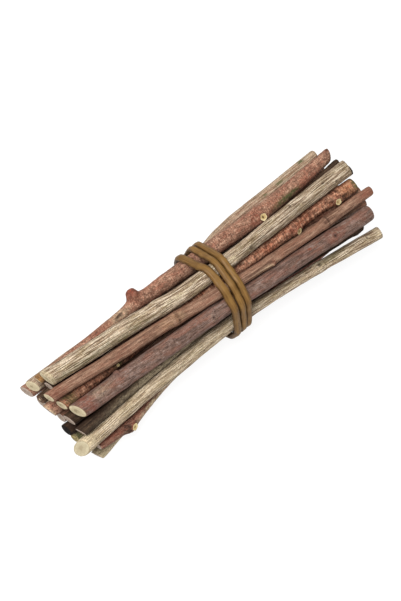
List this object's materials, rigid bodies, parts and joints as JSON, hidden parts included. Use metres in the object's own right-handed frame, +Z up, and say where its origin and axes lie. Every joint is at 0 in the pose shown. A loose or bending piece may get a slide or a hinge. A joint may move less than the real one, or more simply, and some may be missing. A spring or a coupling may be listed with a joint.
{
  "type": "bundle of twigs",
  "caption": "Bundle of short cut twigs of mixed bark, lying on its side and held together round the middle by a rubber band.",
  "frame": {"origin": "under the middle of the bundle's box, on the surface that it lies on", "axes": "+X along the twigs, +Z up from the surface, +Y across the bundle, away from the picture's viewer"},
  "size_m": [0.1586, 0.048, 0.0404],
  "materials": {
    "bark_red_brown": "red-brown bark with small pale pores, dull",
    "bark_grey_green": "grey-green furrowed bark, matt",
    "bark_rust": "rust-red bark with fine cross ridges, dull",
    "bark_rose_tan": "smooth rose-tan bark with a slight sheen",
    "bark_mauve": "smooth mauve-grey bark with a slight sheen",
    "bark_grey_tan": "grey-tan bark with green algae specks, matt",
    "bark_dark_brown": "dark brown bark, dull",
    "bark_dark_red": "dark red bark with small pale pores, dull",
    "rubber_tan": "tan rubber, satin"
  },
  "bodies": {
    "root": {"twig_01": "bark_red_brown", "twig_02": "bark_grey_green", "twig_03": "bark_rose_tan", "twig_04": "bark_mauve", "twig_05": "bark_grey_green", "twig_06": "bark_rust", "twig_07": "bark_grey_tan", "twig_08": "bark_dark_brown", "twig_09": "bark_dark_brown", "twig_10": "bark_red_brown", "twig_11": "bark_rose_tan", "twig_12": "bark_dark_brown", "twig_13": "bark_dark_brown", "twig_14": "bark_dark_brown", "twig_15": "bark_grey_green", "twig_16": "bark_dark_red", "twig_17": "bark_grey_tan", "twig_18": "bark_grey_green", "twig_19": "bark_red_brown", "twig_20": "bark_grey_tan", "twig_21": "bark_mauve", "twig_22": "bark_rust", "rubber_band": "rubber_tan"}
  },
  "joints": []
}
